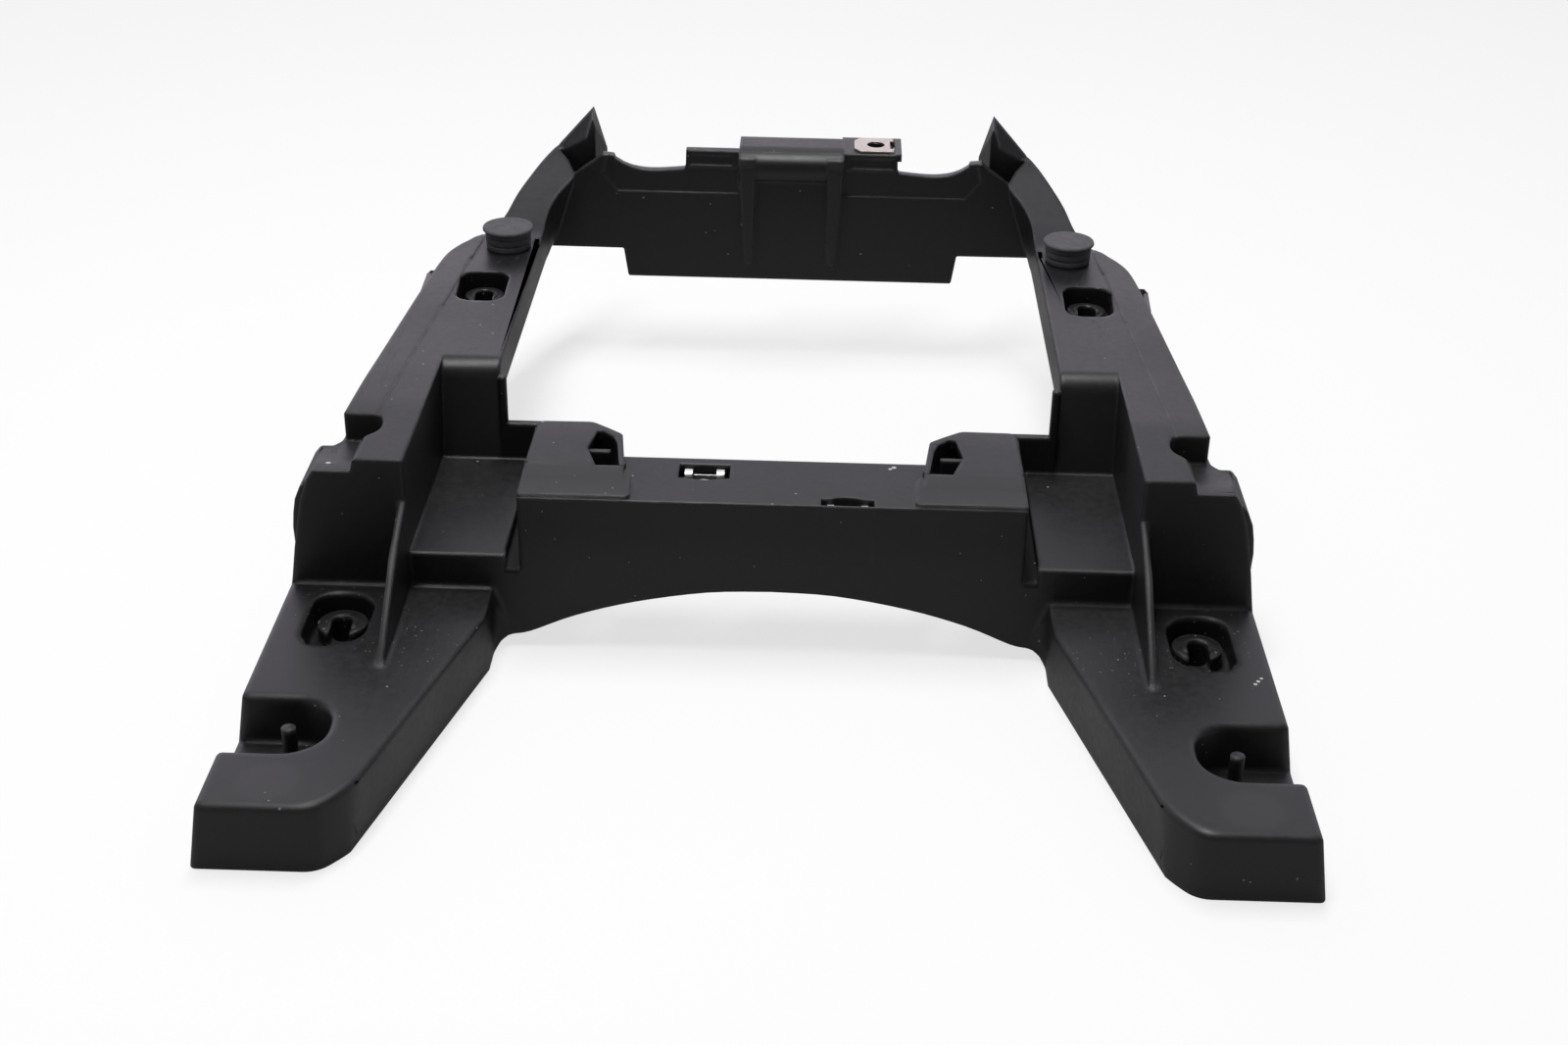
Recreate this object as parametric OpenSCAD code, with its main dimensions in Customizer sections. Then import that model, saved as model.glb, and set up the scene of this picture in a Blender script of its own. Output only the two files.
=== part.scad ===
// Rear luggage rack for a motorcycle: one ribbed moulding that bolts on at
// four points, with two rubber buffers and three sheet-metal clip nuts.
// X runs across, Y runs from the feet to the far cross wall, Z is up.
// The origin is on the floor, in the middle of the overall box.

/* [Overall] */
// Length from the front of the feet to the far end of the wings
overall_length = 372; // [366:2:384]
// Half of the width across the feet at the floor
half_width = 155.5; // [152:0.5:160]
// Height of the deck along both arms
arm_deck_height = 66; // [64:0.5:69]
// Half of the clear width of the central opening
opening_half_width = 94.3; // [92:0.1:95.5]

/* [Walls] */
// Thickness of the skin and of the outer walls
skin = 3; // [2.4:0.1:3.4]
// Thickness of the ribs under the skin
rib = 2.2; // [1.6:0.1:2.8]

/* [Feet] */
// Height of the deck of the feet
foot_deck_height = 21.5; // [20.5:0.5:24]
// Distance from the front of the feet to the step wall
step_wall_y = 119; // [117:0.5:121]
// Lean of the outer side of the foot between floor and deck
foot_flare = 3.5; // [2:0.5:5]
// Height of the floor of the notch on the outer side of the foot
notch_floor = 5.7; // [5:0.1:8]
// Width of the notch along the foot
notch_width = 27.2; // [25:0.2:29]
// Diameter of the moulded stud in the notch
stud_diameter = 4.2; // [3:0.1:6]
// Diameter of the shallow round mark on the foot
mark_diameter = 19; // [16:0.5:20]

/* [Arms] */
// Height of the front edge of the flange in front of the outer rail
flange_height = 61.5; // [60:0.5:63]
// Height of the scoop between that edge and the rail
scoop_height = 56.5; // [55:0.5:58]
// Rise of the outer rail above the arm deck
rail_rise = 0.4; // [0.2:0.1:1.2]
// Depth of the inner walls of the arms below the deck
arm_inner_depth = 13; // [11:0.5:15]
// Depth of the outer walls of the arms below the deck
arm_outer_depth = 24; // [20:0.5:28]
// Height of the floor of the channel between arm and near beam
shelf_height = 33.5; // [32:0.5:36]

/* [Near beam] */
// Height of the top of the near beam
beam_height = 54; // [52:0.5:55]
// Depth of the near beam from front to back
beam_depth = 30; // [28:0.5:31]
// Half of the length of the near beam
beam_half_length = 79.2; // [78:0.1:80.5]
// Height of the arch under the middle of the near beam
arch_height = 22.8; // [20:0.2:26]
// Height of the hook plates behind the near beam
hook_height = 57; // [56:0.5:59]

/* [Far wall] */
// Distance from the far end back to the near face of the far wall
far_wall_inset = 22; // [21.5:0.1:23]
// Height of the two straight lengths of the top edge
far_top_height = 87.4; // [86:0.2:89]
// Height of the lower edge in the middle
far_bottom_height = 33.7; // [31:0.2:36]

/* [Bolt seats] */
// Diameter of the four bolt holes
bolt_hole = 6.6; // [6.4:0.1:7]
// Outside diameter of the bosses under the bolt seats
boss_diameter = 13; // [12:0.5:14]
// Depth of the seats in the feet
near_seat_depth = 4.5; // [4:0.1:5.5]
// Depth of the seats in the arms
far_seat_depth = 5.5; // [5:0.1:6.5]
// Distance of the near bolt holes from the middle
near_bolt_x = 132.6; // [131:0.1:134]
// Distance of the far bolt holes from the middle
far_bolt_x = 109.8; // [109:0.1:111]
// Distance of the near bolt holes from the front of the feet
near_bolt_y = 102; // [101:0.1:103]
// Distance between the near and the far bolt holes
bolt_spacing = 160; // [158:0.5:162]

/* [Buffers] */
// Diameter of the head of a buffer
buffer_diameter = 19; // [17:0.5:20]
// Height of a buffer above the deck
buffer_height = 8.5; // [7:0.5:11]
// Diameter of the stem of a buffer
buffer_stem = 8; // [6:0.5:9]

/* [Clip nuts] */
// Width of a clip nut
clip_width = 16; // [15:0.1:16.6]
// Thickness of the sheet of a clip nut
clip_sheet = 0.8; // [0.6:0.05:1]
// Diameter of the hole in the top leaf of a clip nut
clip_hole = 7; // [6.6:0.1:7.6]

/* [Hidden] */
$fn = 48;

front = -overall_length / 2;             // Y of the front of the feet
step_y = front + step_wall_y;            // Y of the step wall
far_y = front + overall_length - far_wall_inset; // Y of the far wall's near face
back = front + overall_length;           // Y of the far end
widen = half_width - 155.5;              // what a wider rack adds to each foot
fit = 0.3;                               // clearance around inserted pieces
seat = 0.15;                             // clearance between leaf and tab
far = 400;                               // larger than the part

channel_in = 84;                         // inner side of the channel floor
channel_out = 114;                       // outer side of the channel floor
channel_end = step_y + 66;               // near face of the channel's back wall
roll = 7;                                // radius of the deck's edge above the channel
roll_y = 13;                             // distance from the foot of that wall to the deck
groove_floor = shelf_height - 5;         // floor of the groove beside the beam
shoulder_x = 128;                        // step between arm deck and flange
rail_end = step_y + 31;                  // near end of the outer rail
beam_back = step_y + beam_depth;
under_deck = arm_deck_height - skin;

near_bolt = [near_bolt_x, front + near_bolt_y];
far_bolt = [far_bolt_x, front + near_bolt_y + bolt_spacing];
buffer_at = [105.5, far_y - 53.2];

// Points of a smooth curve through p, s steps from each point to the next
function curve(p, s) = [
    for (i = [0:len(p) - 2], j = [0:s - 1])
        let (a = p[max(i - 1, 0)], b = p[i], c = p[i + 1])
        let (d = p[min(i + 2, len(p) - 1)], t = j / s)
        b + (c - a) * t / 2
        + (2 * a - 5 * b + 4 * c - d) * t * t / 2
        + (3 * b - a - 3 * c + d) * t * t * t / 2,
    p[len(p) - 1]
];

function unit(v) = v / norm(v);

// One corner of an outline, moved inward by d
function moved(a, b, c, d) =
    let (u = unit(b - a), v = unit(c - b))
    let (m = [-u[1], u[0]], n = [-v[1], v[0]])
    b + (m + n) * d / (1 + m * n);

// An anticlockwise outline, moved inward by d
function inset(p, d) = [
    for (i = [0:len(p) - 1])
        moved(p[(i + len(p) - 1) % len(p)], p[i], p[(i + 1) % len(p)], d)
];

// An outline whose corners [x, y, r] are rounded by r
function rounded(p, s = 6) = [
    for (i = [0:len(p) - 1])
        let (a = p[(i + len(p) - 1) % len(p)], b = p[i], c = p[(i + 1) % len(p)])
        let (b2 = [b[0], b[1]])
        let (u = unit([a[0], a[1]] - b2), v = unit([c[0], c[1]] - b2))
        let (half = acos(u * v) / 2, k = b[2] / tan(half))
        let (m = b2 + unit(u + v) * b[2] / sin(half))
        let (p0 = b2 + u * k - m, p1 = b2 + v * k - m)
        let (a0 = atan2(p0[1], p0[0]), turn = atan2(p1[1], p1[0]) - a0)
        let (sweep = turn > 180 ? turn - 360 : turn < -180 ? turn + 360 : turn)
        for (j = [0:(b[2] > 0 ? s : 0)])
            b[2] > 0
                ? m + b[2] * [cos(a0 + sweep * j / s), sin(a0 + sweep * j / s)]
                : b2
];

module both_sides() {
    children();
    mirror([1, 0, 0]) children();
}

// A box from its two corners
module box(a, b) {
    translate(a) cube(b - a);
}

// An outline in X and Z, drawn from y0 to y1
module across(y0, y1, points) {
    translate([0, y1, 0]) rotate([90, 0, 0]) linear_extrude(y1 - y0) polygon(points);
}

// An outline in Y and Z, drawn from x0 to x1
module along(x0, x1, points) {
    translate([x0, 0, 0]) rotate([90, 0, 90]) linear_extrude(x1 - x0) polygon(points);
}

module plan(z0, z1, points) {
    translate([0, 0, z0]) linear_extrude(z1 - z0) polygon(points);
}

// Outer edge of an arm seen from above, from the rail's end to the wing
arm_outer = [
    [138.4, rail_end], [137.1, front + 175], [135.6, front + 195],
    [134, front + 217], [131.1, front + 256], [128.4, far_y - 66],
    [125.4, far_y - 55], [120.8, far_y - 46.5], [115.6, far_y - 40], [110.4, far_y - 29],
    [106.9, far_y - 16], [102.3, far_y - 4], [97.4, far_y + 7],
    [93.3, back - 8], [87.6, back - 4.4], [84.8, back]
];

// Inner edge of an arm, from the wing to the channel
arm_inner = [
    [83, back], [83, far_y], [85.3, far_y - 5],
    [91, far_y - 16], [opening_half_width - 0.4, far_y - 27],
    [opening_half_width, far_y - 42]
];

// Plan of an arm, or of the hollow inside walls of thickness d
function arm_plan(d) = concat(
    [[arm_outer[0][0] - d, rail_end + d]],
    curve([for (i = [1:len(arm_outer) - (d > 0 ? 4 : 2)]) arm_outer[i] - [d, 0]], 4),
    d > 0 ? [[83 + d, far_y + 7]] : [[84.8, back], [83, back]],
    curve([for (i = [1:len(arm_inner) - 1]) arm_inner[i] + [d, 0]], 4),
    [[opening_half_width + d, channel_end + d], [channel_out + d, channel_end + d],
     [channel_out + d, rail_end + d]]
);

// Height of the arm's skin along Y, lowered by d
function arm_top(d) = concat(
    [[rail_end, arm_deck_height - d]],
    curve([
        [far_y - 44, arm_deck_height - d], [far_y - 34, arm_deck_height + 1.2 - d],
        [far_y - 15, arm_deck_height + 7.7 - d], [far_y + 6, arm_deck_height + 15.4 - d],
        [back, arm_deck_height + 20 - d]
    ], 4)
);

arm_under = arm_deck_height - arm_inner_depth;
arm_low = arm_deck_height - arm_outer_depth;

arm_side = concat(
    [[back, 45.7]],
    curve([[far_y, 45.7], [far_y - 11, arm_under - 1.5], [far_y - 30, arm_under]], 4),
    [[rail_end, arm_under]],
    arm_top(0)
);

arm_hollow_side = concat(
    [[back, -1], [rail_end, -1]],
    arm_top(skin)
);

// Arm without its hollow
module arm_body() {
    intersection() {
        plan(0, far, arm_plan(0));
        along(0, far, arm_side);
    }
}

// Everything on the inner side of the leaning wall, moved outward by d
module inner_lean(d) {
    intersection() {
        box([70, far_y - 44, 0], [120, far_y + 0.5, far]);
        below([opening_half_width + d, far_y - 42, arm_under], 72.1, 1.2);
    }
}

// One arm, open below; its inner wall leans outward towards the far wall
module arm() {
    difference() {
        union() {
            difference() {
                arm_body();
                intersection() {
                    plan(0, far, arm_plan(skin));
                    along(0, far, arm_hollow_side);
                }
            }
            intersection() {
                arm_body();
                inner_lean(skin);
            }
        }
        inner_lean(0);
        // Open corner beside the wing
        plan(arm_deck_height, far, [
            [78, far_y - 5], [85.1, far_y - 5], [93.2, back - 8], [78, back - 8]
        ]);
    }
    outer_rail();
    outer_skirt();
}

// Edge between the arm's deck and its raised outer rail
rail_inner = [
    [127.4, rail_end], [126.1, front + 170], [123.5, front + 207],
    [118.9, front + 270], [117.4, far_y - 62], [116, far_y - 44]
];

// Raised strip along the outer edge of the arm
module outer_rail() {
    edge = [for (p = curve(arm_outer, 4)) if (p[1] < far_y - 41) p];
    side = curve(rail_inner, 4);
    plan(under_deck, arm_deck_height + rail_rise,
        concat(edge, [for (i = [len(side) - 1:-1:0]) side[i]]));
}

// Deeper outer wall of the arm
module outer_skirt() {
    edge = [for (p = curve(arm_outer, 4)) if (p[1] < far_y - 20) p];
    plan(arm_low, under_deck, concat(edge,
        [for (i = [len(edge) - 1:-1:0]) edge[i] - [skin, 0]]));
}

flank = [
    [142.3 + widen, flange_height], [144.4 + widen, flange_height - 3.5],
    [147 + widen, flange_height - 11], [148.6 + widen, flange_height - 19],
    [150.2 + widen, flange_height - 28], [half_width - foot_flare, foot_deck_height],
    [half_width, 0]
];

// Plan of the shoulder that joins arm and foot
shoulder_plan = rounded([
    [channel_out, step_y, 0], [half_width + 2, step_y, 0],
    [half_width - 1, step_y + 10, 6], [144, step_y + 25, 4], [139.6, step_y + 31, 6],
    [138, step_y + 60, 20], [134.6, step_y + 86, 0], [channel_out, step_y + 86, 0]
]);

// Side view of the shoulder's lower edge, which rises to the arm
shoulder_side = concat(
    [[step_y, 0], [step_y + 24, 0]],
    curve([[step_y + 30, 0.5], [step_y + 50, 14], [step_y + 70, 34], [step_y + 86, arm_low]], 4),
    [[step_y + 86, scoop_height]],
    curve([[step_y + 28, scoop_height], [step_y + 17, scoop_height + 1.6],
           [step_y + 8, scoop_height + 4.2], [step_y, flange_height]], 4)
);

// Flared body between the step wall and the arm, open below
module shoulder() {
    difference() {
        intersection() {
            plan(0, far, shoulder_plan);
            across(step_y, step_y + 90, concat(
                [[channel_out, 0], [channel_out, flange_height]], flank));
            along(0, far, shoulder_side);
        }
        intersection() {
            plan(-1, scoop_height - skin, inset(shoulder_plan, skin));
            across(step_y, step_y + 90, concat(
                [[channel_out, -1], [channel_out, flange_height - skin]],
                [for (p = flank) p - [skin, 0]], [[half_width - skin, -1]]));
        }
    }
    // Inner strip of the shoulder, level with the arm deck
    intersection() {
        across(step_y, rail_end + 2, [
            [channel_out, scoop_height - skin], [shoulder_x + 6.5, scoop_height - skin],
            [shoulder_x + 6, scoop_height + 1], [shoulder_x + 2.6, scoop_height + 4.4],
            [shoulder_x + 1.6, arm_deck_height - 1], [shoulder_x + 0.6, arm_deck_height],
            [channel_out, arm_deck_height]
        ]);
        plan(0, far, concat(
            [[channel_out, rail_end + 2], [channel_out, step_y], [shoulder_x + 8, step_y]],
            curve([[shoulder_x + 8, step_y + 8], [shoulder_x + 3, step_y + 13],
                   [shoulder_x + 0.4, step_y + 16.6], [shoulder_x - 2.4, step_y + 20.4],
                   [shoulder_x - 3.2, step_y + 24.3], [shoulder_x - 2.6, step_y + 28.4],
                   [shoulder_x - 0.6, rail_end + 2]], 3)));
    }
}

foot_edge = half_width - foot_flare;

foot_plan = rounded([
    [88, step_y + skin, 0], [88, step_y - 19, skin + 1], [111.2, front + 11, 30],
    [120, front, 9], [half_width + 2, front, 0], [half_width + 2, step_y + skin, 0]
]);

foot_profile = [
    [0, 0], [half_width, 0], [foot_edge, foot_deck_height], [0, foot_deck_height]
];

notch_y = front + 39.8;

notch_plan = rounded([
    [123.4, notch_y - notch_width / 2, notch_width / 2 - 1.5],
    [far, notch_y - notch_width / 2, 0], [far, notch_y + notch_width / 2, 0],
    [123.4, notch_y + notch_width / 2, notch_width / 2 - 1.5]
], 10);

// One foot, open below, with the notch, its stud and the bolt seat
module foot() {
    difference() {
        intersection() {
            plan(0, foot_deck_height, foot_plan);
            across(front, step_y + skin, foot_profile);
        }
        intersection() {
            plan(-1, foot_deck_height - skin, inset(foot_plan, skin));
            across(front, step_y + skin, concat(
                [[0, -1], [half_width - skin, -1]],
                [[foot_edge - skin, foot_deck_height], [0, foot_deck_height]]));
        }
        // Draft of the slanting inner wall
        translate([88, step_y - 19, 0])
            rotate([90, 0, atan2(front + 11 - step_y + 19, 23.2) + 90])
            linear_extrude(240, center = true)
            polygon([[-9, -1], [1.2, -1], [0, foot_deck_height], [-9, foot_deck_height]]);
    }
    notch_tray();
    foot_ribs();
    foot_corner();
}

// Rounded inside corner between the foot and the near beam
module foot_corner() {
    r = 5.5;
    intersection() {
        plan(0, foot_deck_height, concat(
            [[88 - r, step_y + 1], [88 - r, step_y]],
            [for (a = [75:-15:15]) [88 - r + r * cos(a), step_y - r + r * sin(a)]],
            [[88, step_y - r], [90, step_y - r], [90, step_y + 1]]));
        across(step_y - r, step_y + 1, [
            [80, 5.3], [83.5, 4.3], [86, 2.6], [88, 0], [90, 0],
            [90, foot_deck_height], [88, foot_deck_height - 1], [84.6, 12], [82, 8], [80, 7]
        ]);
    }
}

// Walls and floor that close the notch off from the hollow
module notch_tray() {
    intersection() {
        plan(notch_floor - skin, foot_deck_height, inset(notch_plan, -skin));
        across(front, step_y, foot_profile);
    }
}

module foot_ribs() {
    for (y = [front + 14, front + 68])
        intersection() {
            box([0, y - rib / 2, 2], [half_width, y + rib / 2, foot_deck_height - 1]);
            plan(0, far, foot_plan);
            across(front, step_y, foot_profile);
        }
    box([near_bolt_x - rib / 2, front + 55, 2],
        [near_bolt_x + rib / 2, near_bolt[1], foot_deck_height - near_seat_depth - 1]);
}

module stud() {
    translate([135.2, notch_y, notch_floor - 0.5])
        cylinder(d = stud_diameter, h = foot_deck_height - 1.3 - notch_floor + 0.5);
}

// Sloping rib between the step wall and the foot
module gusset() {
    along(channel_out - 0.2, channel_out + rib, [
        [step_y + 1, foot_deck_height - 1], [step_y + 1, 52], [step_y, 52],
        [step_y - 14, 45.5], [step_y - 27, 37], [step_y - 38, 29.4],
        [step_y - 48.5, foot_deck_height], [step_y - 48.5, foot_deck_height - 1]
    ]);
}

// Front wall of the channel, closed down to the foot
module step_wall() {
    across(step_y, step_y + skin, concat(
        [[channel_out, 0], [channel_out, flange_height]], flank));
    across(step_y, step_y + skin, [
        [88, 0], [channel_out, 0], [channel_out, shelf_height], [83.6, shelf_height],
        [83.6, groove_floor - skin], [88, groove_floor - skin]
    ]);
}

// Floor and walls of the channel between the arm and the near beam
module channel() {
    // Leaning back wall
    along(opening_half_width, channel_out + skin, [
        [channel_end, shelf_height - skin], [channel_end + skin, shelf_height - skin],
        [channel_end + roll_y - roll + skin, arm_deck_height - roll],
        [channel_end + roll_y, under_deck], [channel_end + roll_y + 1, arm_deck_height],
        [channel_end, arm_deck_height]
    ]);
    box([channel_in, step_y, shelf_height - skin],
        [channel_out + 0.5, channel_end + skin, shelf_height]);
    // Outer side of the channel
    box([channel_out, step_y, shelf_height - skin],
        [channel_out + skin, channel_end + skin, arm_deck_height]);
    // Back wall, low beside the beam and full height under the arm
    box([opening_half_width - skin, channel_end, shelf_height - skin],
        [channel_out + skin, channel_end + skin, under_deck + 1]);
    box([beam_half_length - skin, channel_end, groove_floor - skin],
        [opening_half_width, channel_end + skin, 47]);
    // Floor of the narrow groove beside the beam
    box([beam_half_length - 1, step_y, groove_floor - skin],
        [channel_in + skin, channel_end + skin, groove_floor]);
    // Ribs under the channel
    for (x = [92, 104])
        box([x, step_y, shelf_height - 10], [x + rib, channel_end + 1, shelf_height - 1]);
}

arch = [
    [0, arch_height], [20, arch_height - 0.9], [43, arch_height - 5],
    [62, arch_height - 10.6], [76.5, 5.9], [82.5, 4.5], [86, 2.6], [88, 0]
];

// Near cross beam with the arch cut from its front wall
module near_beam() {
    both_sides() {
        across(step_y, step_y + skin, concat(
            [[89, 0], [89, groove_floor], [beam_half_length, groove_floor],
             [beam_half_length, beam_height], [0, beam_height]],
            curve(arch, 4)));
        // End wall
        box([beam_half_length - skin, step_y, groove_floor - skin],
            [beam_half_length, channel_end + skin, 46]);
        box([beam_half_length - skin, step_y, 45],
            [beam_half_length, step_y + 48, beam_height]);
        // Inner side wall of the foot, carried back under the beam
        box([86, step_y + 1, 8], [89, step_y + 30, groove_floor - 1]);
    }
    // Top and back wall
    box([-beam_half_length, step_y, beam_height - skin],
        [beam_half_length, beam_back, beam_height]);
    box([-beam_half_length, beam_back - skin, 33],
        [beam_half_length, beam_back, beam_height]);
    // Ribs inside the beam
    for (x = [-66, -50, 0, 50, 66])
        box([x - rib / 2, step_y, 29], [x + rib / 2, beam_back - 1, beam_height - 1]);
    // Raised pads at both ends, sloping up to the hook plates
    both_sides() {
        plan(beam_height - 1, beam_height + 1.2, rounded([
            [44, step_y + 0.8, 2], [beam_half_length, step_y + 0.8, 0],
            [beam_half_length, step_y + 19.5, 0], [45.5, step_y + 19.5, 3]
        ]));
        along(47.5, beam_half_length, [
            [step_y + 11, beam_height], [step_y + 20, beam_height],
            [step_y + 20, hook_height], [step_y + 17.5, hook_height - 0.3],
            [step_y + 11, beam_height + 1.2]
        ]);
        hook_plate();
    }
}

hook_plan = rounded([
    [46.2, step_y + 18.6, 1], [beam_half_length, step_y + 18.6, 0],
    [beam_half_length - 0.6, step_y + 49, 3], [60, step_y + 49.3, 5],
    [49.8, step_y + 40, 3.5], [47.6, step_y + 21, 0]
]);

// Hook plate behind the beam, open below
module hook_plate() {
    low = beam_height - 14;
    difference() {
        plan(low, hook_height, hook_plan);
        plan(low - 1, hook_height - skin, [
            [50, step_y + 21], [beam_half_length - skin, step_y + 21],
            [beam_half_length - skin, step_y + 46], [61, step_y + 46.4], [52.4, step_y + 38.6]
        ]);
    }
    box([61.4, step_y + 20, low], [61.4 + rib, step_y + 47, beam_height + 1]);
    // Walls that carry the plate
    box([beam_half_length - skin, step_y + 20, groove_floor],
        [beam_half_length, step_y + 47, hook_height - 1]);
    along(68, 68 + rib, [
        [beam_back - 1, 34], [beam_back - 1, beam_height + 1],
        [step_y + 47, beam_height + 1], [step_y + 47, beam_height - 4]
    ]);
}

// Pocket through the hook plate, crossed by a moulded tongue
module hook_pocket() {
    difference() {
        plan(beam_height - 9, far, rounded([
            [49, step_y + 18.3, 0], [56.6, step_y + 18.3, 0], [60.3, step_y + 30, 1.5],
            [58, step_y + 44, 1.5], [52.4, step_y + 38.2, 1.5], [51, step_y + 34, 0]
        ]));
        box([53, step_y + 30.4, 0], [62, step_y + 32.2, hook_height - 1.6]);
    }
}

// The far wall's outline in X and Z on one side
far_contour = concat(
    [[0, far_bottom_height], [64.9, far_bottom_height], [65.5, far_bottom_height + 0.6]],
    [[67.1, 45.2], [67.6, 45.6], [opening_half_width + 1.5, 45.7]],
    [[opening_half_width + 1.5, arm_deck_height + 9], [85.3, arm_deck_height + 11]],
    [[77.4, 82.6], [75, 84.8], [70.6, 84.4], [70, 82.9]],
    curve([[67, 81], [63, 79.5], [57.5, 78.7], [51, 78.8], [42.6, 79.6]], 3),
    [[42, 80.4], [41.8, far_top_height], [0, far_top_height]]
);

// Far cross wall, which closes the opening
module far_wall() {
    both_sides() across(far_y, far_y + 4, far_contour);
    // Flange behind the wall and the ribs that carry it
    box([-84, far_y + 3, 58], [84, back - 6, 58 + skin]);
    for (x = [-74, -45, 0, 45, 74])
        across(far_y + 3, back - 6, [
            [x - rib / 2, 48], [x + rib / 2, 48], [x + rib / 2, 72], [x - rib / 2, 72]
        ]);
    box([-84, back - 6 - skin, 44], [84, back - 6, 62]);
    centre_pad();
    both_sides() buttress();
}

// Shallow panels in the far wall's near face
module wall_panels() {
    both_sides() {
        across(far_y - 1, far_y + 0.7, [
            [23.5, 81.4], [40.6, 81.4], [40.6, 85.2], [23.5, 85.2]
        ]);
        across(far_y - 1, far_y + 0.5, [
            [20.8, 69.9], [69, 69.9], [75, 77], [72, 90], [41.2, 90], [41.2, 80.4], [20.8, 80.4]
        ]);
    }
}

// Rounded pad on top of the far wall's middle
module centre_pad() {
    difference() {
        along(-20.8, 20.8, concat(
            curve([[far_y + 1, 75], [far_y - 2.5, 76.5], [far_y - 4.6, 80.5],
                   [far_y - 4, 84.6], [far_y - 0.5, 87.2], [far_y + 5, 88.2]], 4),
            [[far_y + 16, 88.2], [far_y + 16, 75]]));
        box([-18, far_y + 4, 70], [18, far_y + 16 - skin, 88.2 - skin]);
    }
}

// Tapered buttress beside the pad
module buttress() {
    intersection() {
        across(far_y - 6, far_y + 1, [[15.2, 39], [18.2, 39], [20.6, 86], [14.2, 86]]);
        along(0, 40, [
            [far_y + 1, 39], [far_y + 1, 86], [far_y - 3.6, 86], [far_y - 5.4, 82],
            [far_y - 5, 76], [far_y - 2, 41], [far_y - 0.4, 39]
        ]);
    }
}

// Raised end of the arm, whose top sweeps up from the deck to a pointed tip
wing_low = [93.3, back - 8, arm_deck_height + 18.3];
wing_high = [81.5, back - 11, arm_deck_height + 24];

// Everything below a plane through p, tilted by t towards the heading h
module below(p, t, h) {
    translate(p) rotate([0, t, h]) translate([-60, -60, -80]) cube([120, 120, 80]);
}

module wing() {
    intersection() {
        plan(58, far, [
            [79, back - 11], [96, back - 11], [94.8, back - 9.6],
            [93.3, back - 8], [80.5, back], [75.2, back]
        ]);
        across(back - 11, back, [
            [75.2, 58], [99, 58], [99, 96], [80.8, 99], [79.6, 95], [75.2, 80]
        ]);
        union() {
            below(wing_low, 43, -57.9);
            below(wing_high, 71.6, -6.2);
        }
    }
}

// Gap between the far wall and the wing
module wing_gap() {
    plan(62, far, [
        [79, far_y + 4], [84, far_y + 4], [87, far_y + 1],
        [93.6, back - 11], [79, back - 11]
    ]);
}

// Tab on the far wall that carries a clip nut
tab_x = [20, 43.4];
tab_y = far_y + 9.5;
tab_clip_x = 33.2;
tab_reach = 7.2;

module far_tab() {
    box([tab_x[0], far_y + 1, far_top_height - skin],
        [tab_x[1], far_y + 20.4, far_top_height]);
}

// Room for the clip nut in that tab and behind the wall
module far_clip_room() {
    w = clip_width / 2 + fit;
    low = far_top_height - skin - clip_sheet - seat - fit;
    translate([tab_clip_x, tab_y, far_top_height - skin - 1])
        cylinder(d = 8.4, h = skin + 2);
    box([tab_clip_x + tab_reach - clip_sheet - fit, tab_y - w, low],
        [tab_clip_x + tab_reach + fit, tab_y + w, far]);
    box([tab_clip_x - 6.5 - fit, tab_y - w, low],
        [tab_clip_x + tab_reach, tab_y + w, far_top_height - skin]);
}

near_pit = foot_deck_height - 2 * near_seat_depth; // floor around the near bosses
far_pit = arm_deck_height - 1.7 * far_seat_depth;  // floor around the far bosses

// Boss with a slightly raised ring around its hole
module boss(at, low, top, d) {
    translate([at[0], at[1], low]) cylinder(d = d, h = top - low);
    translate([at[0], at[1], low]) cylinder(d = bolt_hole + 3, h = top - low + 0.5);
}

module near_boss() {
    boss(near_bolt, 0, foot_deck_height - near_seat_depth + 0.4, boss_diameter + 2.4);
}

module far_boss() {
    boss(far_bolt, arm_deck_height - 21, arm_deck_height - far_seat_depth + 0.4,
        boss_diameter + 0.8);
}

// Slot from a bolt hole to the front of its seat
module seat_slot(at, floor) {
    box([at[0] - bolt_hole / 2, at[1] - 22, floor], [at[0] + bolt_hole / 2, at[1], far]);
}

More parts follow.
